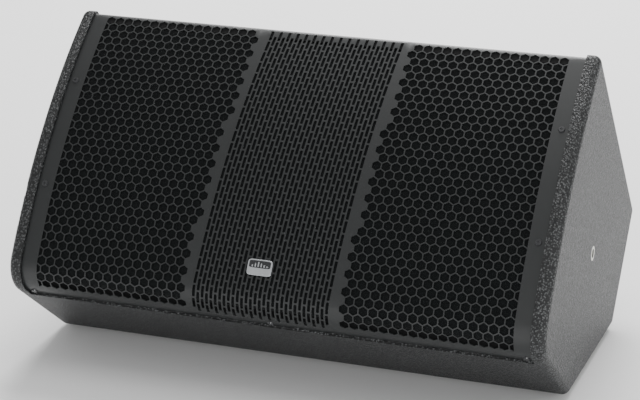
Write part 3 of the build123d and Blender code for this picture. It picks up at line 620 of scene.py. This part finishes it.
# ---------------------------------------------------------------- materials
class Finish:
    """A procedural material on Object coordinates, built up from small node steps."""

    def __init__(self, name, roughness=0.5, metallic=0.0, **sockets):
        self.material = bpy.data.materials.new(name)
        self.material.use_nodes = True
        self.nodes, self.links = self.material.node_tree.nodes, self.material.node_tree.links
        self.shader = self.nodes["Principled BSDF"]
        self.shader.inputs["Roughness"].default_value = roughness
        self.shader.inputs["Metallic"].default_value = metallic
        for socket, value in sockets.items():
            self.shader.inputs[socket.replace("_", " ")].default_value = value
        self.where = self.nodes.new("ShaderNodeTexCoord").outputs["Object"]

    def node(self, kind, **inputs):
        """A new node with its inputs set from values or linked from other nodes' outputs."""
        made = self.nodes.new(kind)
        for key, value in inputs.items():
            socket = made.inputs[key.replace("_", " ")]
            if isinstance(value, bpy.types.NodeSocket):
                self.links.new(value, socket)
            else:
                socket.default_value = value
        return made

    def mapped(self, scale, turn=(0, 0, 0), middle=(0, 0, 0)):
        """Object coordinates turned and stretched about a point."""
        moved = self.node("ShaderNodeVectorMath", Vector=self.where)
        moved.operation = "SUBTRACT"
        moved.inputs[1].default_value = middle
        return self.node("ShaderNodeMapping", Vector=moved.outputs[0], Scale=scale, Rotation=turn).outputs[0]

    def noise(self, scale, detail=2.0, where=None, roughness=0.5):
        """Fractal noise, a value in 0..1, with `scale` features per metre."""
        return self.node(
            "ShaderNodeTexNoise", Vector=where or self.where, Scale=scale, Detail=detail,
            Roughness=roughness,
        ).outputs[0]

    def pebbles(self, scale, smooth=0.6):
        """Rounded cells, high in their middles."""
        cells = self.node("ShaderNodeTexVoronoi", Vector=self.where, Scale=scale)
        cells.feature = "SMOOTH_F1"
        cells.inputs["Smoothness"].default_value = smooth
        return self.ranged(cells.outputs["Distance"], 0.75, 0.0, 0.0, 1.0)

    def bands(self, scale, direction="Z", kind="BANDS", where=None, distortion=0.0):
        """Sine bands or rings, a value in 0..1."""
        wave = self.node("ShaderNodeTexWave", Vector=where or self.where, Scale=scale,
                         Distortion=distortion)
        wave.wave_type = kind
        setattr(wave, "bands_direction" if kind == "BANDS" else "rings_direction", direction)
        return wave.outputs["Fac"]

    def ranged(self, value, low, high, to_low, to_high):
        """A value mapped from one range to another."""
        return self.node(
            "ShaderNodeMapRange", Value=value, From_Min=low, From_Max=high, To_Min=to_low, To_Max=to_high
        ).outputs[0]

    def math(self, operation, one, two):
        """Two values joined by an operation."""
        made = self.nodes.new("ShaderNodeMath")
        made.operation = operation
        for socket, value in zip(made.inputs, (one, two)):
            if isinstance(value, bpy.types.NodeSocket):
                self.links.new(value, socket)
            else:
                socket.default_value = value
        return made.outputs[0]

    def colour(self, share, low, high):
        """Base colour mixed between two by a share in 0..1."""
        mix = self.nodes.new("ShaderNodeMix")
        mix.data_type = "RGBA"
        self.links.new(share, mix.inputs["Factor"])
        mix.inputs[6].default_value = (*low, 1)
        mix.inputs[7].default_value = (*high, 1)
        self.links.new(mix.outputs[2], self.shader.inputs["Base Color"])
        return self

    def rough(self, share, low, high):
        """Roughness between two values by a share in 0..1."""
        self.links.new(self.ranged(share, 0, 1, low, high), self.shader.inputs["Roughness"])
        return self

    def bump(self, height, depth, strength=1.0):
        """Relief of `depth` metres, added to the relief already there."""
        made = self.node("ShaderNodeBump", Height=height, Distance=depth, Strength=strength)
        before = self.shader.inputs["Normal"].links
        if before:
            self.links.new(before[0].from_socket, made.inputs["Normal"])
        self.links.new(made.outputs[0], self.shader.inputs["Normal"])
        return self


def shades(rgb, spread):
    """A darker and a lighter version of a colour."""
    base = np.array(rgb)
    return tuple(base * (1 - spread)), tuple(base * (1 + spread))


def textured_coat(colours):
    """Sprayed pebbled coat: rounded grains of about 2 mm over finer ones, tips painted lighter as a
    highlight.
    """
    f = Finish("textured_coat", IOR=1.5, Specular_IOR_Level=0.32)
    grains, fine = f.pebbles(430, 0.35), f.noise(950, 3)
    height = f.math("ADD", f.math("MULTIPLY", grains, 0.6), f.math("MULTIPLY", fine, 0.6))
    patches = f.noise(9, 3)
    # Painted highlight: the share is high on the pebbles' tops, which take the light tip colour, and low in
    # the pits; slow patches vary how much.
    share = f.math("MULTIPLY", f.ranged(height, 0.5, 0.85, 0, 1), f.ranged(patches, 0.3, 0.7, 0.6, 1.0))
    f.colour(share, tuple(colours.coat), tuple(colours.coat_tip_highlight))
    f.rough(f.noise(700, 2), 0.25, 0.6)
    return f.bump(height, 1.6 * MM, 1.0).material


def powder_coat(name, rgb, low=0.34, high=0.52):
    """Thin satin powder coat: a faint orange peel with slow changes of shade."""
    f = Finish(name, IOR=1.5)
    f.colour(f.noise(14, 3), *shades(rgb, 0.16))
    f.rough(f.noise(260, 2), low, high)
    return f.bump(f.noise(1400, 2), 0.035 * MM, 0.6).material


def open_foam(name, rgb, scale=900):
    """Open-cell foam or cloth with no gloss: dark pores in a soft net."""
    f = Finish(name, 0.95, Specular_IOR_Level=0.15, Sheen_Weight=0.05)
    cells = f.pebbles(scale, 0.2)
    f.colour(cells, *shades(rgb, 0.5))
    return f.bump(cells, 0.5 * MM, 1.0).material


def moulded(name, rgb, roughness=0.45, grain=1300):
    """Moulded plastic or rubber with a fine eroded grain and handling marks."""
    f = Finish(name, IOR=1.48)
    f.colour(f.noise(25, 4), *shades(rgb, 0.2))
    f.rough(f.noise(90, 4), roughness - 0.07, roughness + 0.1)
    return f.bump(f.noise(grain, 2), 0.06 * MM, 0.7).material


def plated(name, rgb, roughness=0.32, stretch=(1, 1, 14)):
    """Plated or turned metal: fine lines one way, with dull patches."""
    f = Finish(name, roughness, 1.0)
    lines = f.noise(220, 3, f.mapped(stretch))
    f.colour(f.noise(60, 3), *shades(rgb, 0.14))
    f.rough(lines, roughness - 0.08, roughness + 0.14)
    return f.bump(lines, 0.02 * MM, 0.5).material


def cast(name, rgb, metallic=0.6):
    """Cast or pressed-powder surface: coarse pits and dull gloss."""
    f = Finish(name, metallic=metallic)
    pits = f.noise(480, 4)
    f.colour(pits, *shades(rgb, 0.25))
    f.rough(f.noise(70, 2), 0.5, 0.75)
    return f.bump(pits, 0.12 * MM, 0.8).material


def stained_wood(name, rgb):
    """Plywood stained dark: long grain along X with open pores."""
    f = Finish(name, 0.9, Specular_IOR_Level=0.2)
    grain = f.noise(60, 5, f.mapped((0.12, 1, 1)), 0.65)
    f.colour(grain, *shades(rgb, 0.45))
    f.rough(grain, 0.65, 0.95)
    return f.bump(grain, 0.2 * MM, 0.6).material


def ribbed_paper(name, rgb, middle):
    """Pressed paper pulp with fine fibres and shallow ribs that run round the driver's axis."""
    f = Finish(name, 0.7)
    distance = f.nodes.new("ShaderNodeVectorMath")
    distance.operation = "LENGTH"
    f.links.new(f.mapped((1, 1, 1), middle=middle), distance.inputs[0])
    ribs = f.math("SINE", f.math("MULTIPLY", distance.outputs["Value"], 900.0), 0.0)
    fibres = f.noise(420, 5, f.mapped((1, 0.35, 1)), 0.7)
    f.colour(fibres, *shades(rgb, 0.35))
    f.rough(fibres, 0.6, 0.85)
    f.bump(ribs, 0.15 * MM, 0.5)
    return f.bump(fibres, 0.1 * MM, 0.6).material


def woven(name, rgb, pitch=1400):
    """Resin-doped cotton: two sets of threads square to each other."""
    f = Finish(name, 0.7, Sheen_Weight=0.1)
    threads = f.math("MULTIPLY", f.bands(pitch, "X"), f.bands(pitch, "Z"))
    f.colour(threads, *shades(rgb, 0.4))
    f.rough(f.noise(80, 2), 0.55, 0.85)
    return f.bump(threads, 0.12 * MM, 0.8).material


def wound(name, rgb, pitch=1000):
    """Enamelled wire laid turn on turn."""
    f = Finish(name, 0.28, 0.85, Coat_Weight=0.5)
    turns = f.bands(pitch, "Z", distortion=0.4)
    f.colour(turns, *shades(rgb, 0.3))
    f.rough(f.noise(120, 2), 0.2, 0.4)
    return f.bump(turns, 0.25 * MM, 0.9).material


def fibre_wadding(name, rgb):
    """Loose polyester wadding: curled fibres and soft shadows between tufts."""
    f = Finish(name, 0.95, Sheen_Weight=0.4, Specular_IOR_Level=0.2)
    fibres = f.noise(300, 8, None, 0.8)
    f.colour(fibres, *shades(rgb, 0.2))
    return f.bump(fibres, 1.5 * MM, 0.9).material


def laminate(name, rgb):
    """Glass-fibre board under a green lacquer with a faint weave."""
    f = Finish(name, 0.35, Coat_Weight=0.3)
    weave = f.math("MULTIPLY", f.bands(700, "X"), f.bands(700, "Y"))
    f.colour(weave, *shades(rgb, 0.12))
    f.rough(f.noise(60, 2), 0.25, 0.45)
    return f.bump(weave, 0.03 * MM, 0.5).material


def finish_for_every_slot(colours, woofer_middle):
    """One material for each material slot of the record."""
    return {
        "cabinet_paint": textured_coat(colours),
        "inner_wood": stained_wood("stained_wood", (0.0055, 0.0058, 0.006)),
        "grille_steel": powder_coat("grille_coat", colours.steel),
        "foam": open_foam("grille_foam_cells", colours.foam),
        "screw_black": powder_coat("black_oxide", (0.030, 0.031, 0.033), 0.22, 0.4),
        "badge_metal": plated("badge_satin", colours.plate, 0.3, (14, 1, 1)),
        "zinc_steel": plated("zinc_plate", (0.56, 0.56, 0.52), 0.3),
        "rubber": moulded("foot_rubber", (0.022, 0.022, 0.023), 0.72, 900),
        "moulded_plastic": moulded("moulded_black", (0.020, 0.020, 0.021), 0.45),
        "handle_grip": moulded("handle_rubber", (0.016, 0.016, 0.017), 0.62, 700),
        "board_laminate": laminate("board_lacquer", (0.03, 0.13, 0.06)),
        "copper": wound("copper_winding", (0.72, 0.34, 0.16)),
        "component_plastic": moulded("component_black", (0.03, 0.032, 0.04), 0.35),
        "ceramic": cast("ceramic_body", (0.74, 0.72, 0.66), 0.0),
        "nylon": moulded("nylon_white", (0.74, 0.73, 0.68), 0.5),
        "wadding": fibre_wadding("wadding_fibres", (0.70, 0.70, 0.68)),
        "lead_jacket": moulded("lead_jacket", (0.05, 0.012, 0.012), 0.4),
        "basket_metal": powder_coat("basket_coat", (0.035, 0.035, 0.037), 0.4, 0.6),
        "magnet_ferrite": cast("ferrite", (0.05, 0.05, 0.053)),
        "plated_steel": plated("plated_plates", (0.5, 0.5, 0.47), 0.35),
        "cone_paper": ribbed_paper("cone_pulp", (0.028, 0.028, 0.030), woofer_middle),
        "coil_former": wound("coil_former", (0.66, 0.46, 0.25), 1600),
        "doped_cloth": woven("doped_cloth", (0.035, 0.030, 0.026)),
        "gasket_foam": open_foam("gasket_cells", (0.02, 0.02, 0.02), 700),
        "titanium": plated("thin_titanium", (0.5, 0.5, 0.53), 0.22),
        "plug_plastic": moulded("phase_plug", (0.03, 0.03, 0.034), 0.4),
    }


# ---------------------------------------------------------------- operators
def settings():
    """The scene's property groups."""
    scene = bpy.context.scene
    return scene.wedge_profile, scene.wedge_holes, scene.wedge_colours, scene.wedge_studio


def grille_half_width():
    """Half the width of the grille, from the frame."""
    low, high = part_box("grille")
    return (high.x - low.x) / 2


def middle_of(node):
    """Middle of a CAD node's box."""
    low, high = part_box(node)
    return tuple((low + high) / 2)


def dress(piece):
    """Give a new piece the finish of its material slot."""
    piece.data.materials.append(bpy.data.materials[bpy.context.scene["wedge_" + piece["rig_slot"]]])


class WEDGE_OT_studio(Operator):
    """Set up the camera, the pale floor and the soft studio lights"""

    bl_idname = "wedge.studio"
    bl_label = "Studio"

    def execute(self, context):
        _, _, colours, studio = settings()
        self.camera(context, studio)
        self.floor(colours)
        self.lights(studio)
        return {"FINISHED"}

    @staticmethod
    def camera(context, studio):
        """A level camera that looks along its azimuth and down by its elevation."""
        data = bpy.data.cameras.new("camera")
        data.lens, data.sensor_width, data.sensor_fit = studio.lens, 36.0, "HORIZONTAL"
        camera = bpy.data.objects.new("camera", data)
        context.scene.collection.objects.link(camera)
        turn = Matrix.Rotation(studio.azimuth, 4, "Z")
        tilt = Matrix.Rotation(np.pi / 2 - studio.elevation, 4, "X")
        camera.matrix_world = Matrix.Translation(studio.camera_place) @ turn @ tilt
        context.scene.camera = camera

    @staticmethod
    def floor(colours):
        """A plain pale disc under the object."""
        radius, count = 14.0, 96
        turns = np.linspace(0, 2 * np.pi, count, endpoint=False)
        points = np.stack([radius * np.cos(turns), radius * np.sin(turns), np.zeros(count)], -1)
        mesh = bpy.data.meshes.new("floor")
        mesh.from_pydata(points.tolist(), [], [list(range(count))])
        floor = bpy.data.objects.new("floor", mesh)
        bpy.context.scene.collection.objects.link(floor)
        f = Finish("floor_paper", 0.8)
        f.colour(f.noise(3, 2), *shades(colours.floor, 0.01))
        mesh.materials.append(f.material)

    @staticmethod
    def lights(studio):
        """Area lights that look at the cabinet, and pale surroundings."""
        heart = Vector((0, 0, 0.18))
        places = {
            "key": (studio.key, (0.9, -2.2, 0.55), 0.7),
            "side": (studio.side, (2.3, 0.25, 0.75), 0.9),
            "top": (studio.top, (0.3, -0.2, 3.2), 2.2),
            "back": (studio.back, (-0.4, 2.6, 2.9), 2.6),
        }
        for name, (power, place, size) in places.items():
            data = bpy.data.lights.new(name, "AREA")
            data.energy, data.size, data.shape = power, size, "DISK"
            light = bpy.data.objects.new(name, data)
            bpy.context.scene.collection.objects.link(light)
            light.location = place
            light.rotation_euler = (heart - Vector(place)).to_track_quat("-Z", "Y").to_euler()
        world = bpy.data.worlds.new("surroundings")
        world.use_nodes = True
        background = world.node_tree.nodes["Background"]
        background.inputs["Color"].default_value = (1, 1, 1, 1)
        background.inputs["Strength"].default_value = studio.sky
        bpy.context.scene.world = world


class WEDGE_OT_finishes(Operator):
    """Give every CAD piece the finish of its material slot"""

    bl_idname = "wedge.finishes"
    bl_label = "Finishes"

    def execute(self, context):
        _, _, colours, _ = settings()
        finishes = finish_for_every_slot(colours, middle_of("woofer_dust_cap"))
        for slot, material in finishes.items():
            context.scene["wedge_" + slot] = material.name
        for part in frame["record"]["subparts"]:
            mesh = frame["nodes"][part["node"]].data
            mesh.materials.clear()
            mesh.materials.append(finishes[part["material_slot"]])
        return {"FINISHED"}


class WEDGE_OT_grille(Operator):
    """Make the perforated grille of bent steel"""

    bl_idname = "wedge.grille"
    bl_label = "Grille"

    def execute(self, context):
        sizes, holes, _, _ = settings()
        points, faces = perforated_sheet(GrillePath(sizes), holes, grille_half_width(), sizes.sheet)
        grille = new_piece("perforated_grille", points, faces, slot="grille_steel",
                           smooth_below=np.radians(35))
        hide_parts("grille")
        dress(grille)
        return {"FINISHED"}


class WEDGE_OT_foam(Operator):
    """Make the foam sheet behind the grille"""

    bl_idname = "wedge.foam"
    bl_label = "Grille foam"

    def execute(self, context):
        sizes, _, _, _ = settings()
        points, faces = foam_sheet(GrillePath(sizes), sizes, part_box("grille_foam"))
        foam = new_piece("foam_behind_grille", points, faces, slot="foam", smooth_below=np.radians(60))
        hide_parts("grille_foam")
        dress(foam)
        return {"FINISHED"}


class WEDGE_OT_wadding(Operator):
    """Lay the damping wadding on the rear boards and on the floor board"""

    bl_idname = "wedge.wadding"
    bl_label = "Wadding"

    def execute(self, context):
        names = ("wadding_on_upper_board", "wadding_on_lower_board", "wadding_on_floor_board")
        pads = zip(names, wadding_places(frame["nodes"]["damping_pads"]))
        for seed, (name, place) in enumerate(pads):
            points, faces = wadding_pad(*place, seed=seed + 11)
            pad = new_piece(name, points, faces, slot="wadding", smooth_below=np.radians(80))
            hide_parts("damping_pads")
            dress(pad)
        return {"FINISHED"}


class WEDGE_OT_badge(Operator):
    """Make the badge: a satin plate, a dark field and a row of plain level bars"""

    bl_idname = "wedge.badge"
    bl_label = "Badge"

    def execute(self, context):
        sizes, _, colours, _ = settings()
        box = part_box("badge")
        place = badge_frame(box, GrillePath(sizes))
        width = box[1].x - box[0].x
        height, thick = width * 0.63, BADGE_THICKNESS
        plate = new_piece(
            "badge_plate",
            *cushioned_plate(place, (width, height), (0, 0), -thick / 2, thick / 2 - 0.25 * MM, 7, 0.4 * MM),
            slot="badge_metal", smooth_below=np.radians(50),
        )
        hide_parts("badge")
        dress(plate)
        face = thick / 2 - 0.25 * MM
        field = new_piece(
            "badge_field",
            *cushioned_plate(place, (width * 0.88, height * 0.46), (0, height * 0.19),
                             face - 0.3 * MM, face + 0.08 * MM, 7, 0.1 * MM),
            slot="badge_metal", smooth_below=np.radians(50),
        )
        f = Finish("badge_enamel", 0.25, Coat_Weight=0.4)
        f.colour(f.noise(400, 2), *shades(colours.enamel, 0.2))
        field.data.materials.append(f.rough(f.noise(900, 2), 0.18, 0.34).material)
        shares = np.array([0.35, 0.6, 0.9, 0.7, 0.45, 0.3])
        step = width * 0.12
        base = height * 0.19 - height * 0.17
        bars = [
            cushioned_plate(place, (step * 0.45, height * 0.34 * share),
                            ((k - 2.5) * step, base + height * 0.17 * share),
                            face - 0.1 * MM, face + 0.24 * MM, 5, 0.1 * MM)
            for k, share in enumerate(shares)
        ]
        marks = new_piece("badge_bars", *joined(bars), slot="badge_metal", smooth_below=np.radians(50))
        dress(marks)
        return {"FINISHED"}


class WEDGE_OT_suspensions(Operator):
    """Remake the surround, the spider and the diaphragm's edge as pieces in doped cloth"""

    bl_idname = "wedge.suspensions"
    bl_label = "Suspensions"

    def execute(self, context):
        for node, moving in SUSPENSIONS:
            source = frame["nodes"][node]
            corners = np.array([tuple(source.matrix_world @ v.co) for v in source.data.vertices])
            faces = [np.array([tuple(face.vertices)]) for face in source.data.polygons]
            piece = new_piece(
                "stretching_" + node, corners, faces,
                body=None, slot="doped_cloth", smooth_below=np.radians(40),
            )
            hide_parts(node)
            dress(piece)
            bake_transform(piece)
        return {"FINISHED"}


class WEDGE_OT_windings(Operator):
    """Wind the two coils on the crossover board"""

    bl_idname = "wedge.windings"
    bl_label = "Crossover windings"

    def execute(self, context):
        low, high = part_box("crossover_coils")
        radius = (high.y - low.y) / 2
        middle_y, bore = (low.y + high.y) / 2, radius / 2
        coils = [
            winding((x, middle_y), bore, radius, low.z, high.z, COIL_WIRE)
            for x in (low.x + radius, high.x - radius)
        ]
        coils = new_piece("wound_coils", *joined(coils), slot="copper", smooth_below=np.radians(70))
        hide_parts("crossover_coils")
        dress(coils)
        return {"FINISHED"}


class WEDGE_PT_panel(Panel):
    """Buttons for each piece and the sizes that they use"""

    bl_idname = "WEDGE_PT_panel"
    bl_label = "Stage monitor wedge"
    bl_space_type = "VIEW_3D"
    bl_region_type = "UI"
    bl_category = "Wedge"

    def draw(self, context):
        for operator in OPERATORS:
            self.layout.operator(operator.bl_idname)
        for name, group in GROUPS.items():
            box = self.layout.box()
            for key in group.__annotations__:
                box.prop(getattr(context.scene, name), key)


OPERATORS = (
    WEDGE_OT_studio, WEDGE_OT_finishes, WEDGE_OT_grille, WEDGE_OT_foam, WEDGE_OT_wadding,
    WEDGE_OT_badge, WEDGE_OT_suspensions, WEDGE_OT_windings,
)
CLASSES = (WedgeProfile, WedgeHoles, WedgeColours, WedgeStudio, *OPERATORS, WEDGE_PT_panel)
GROUPS = {
    "wedge_profile": WedgeProfile, "wedge_holes": WedgeHoles,
    "wedge_colours": WedgeColours, "wedge_studio": WedgeStudio,
}


def register():
    """Add the classes and hang each property group on the scene."""
    for cls in CLASSES:
        bpy.utils.register_class(cls)
    for name, group in GROUPS.items():
        setattr(bpy.types.Scene, name, PointerProperty(type=group))


def unregister():
    """Take the property groups and the classes away again."""
    for name in GROUPS:
        delattr(bpy.types.Scene, name)
    for cls in reversed(CLASSES):
        bpy.utils.unregister_class(cls)


def main():
    """Build everything."""
    register()
    for operator in OPERATORS:
        family, name = operator.bl_idname.split(".")
        getattr(getattr(bpy.ops, family), name)()


if __name__ == "__main__":
    main()
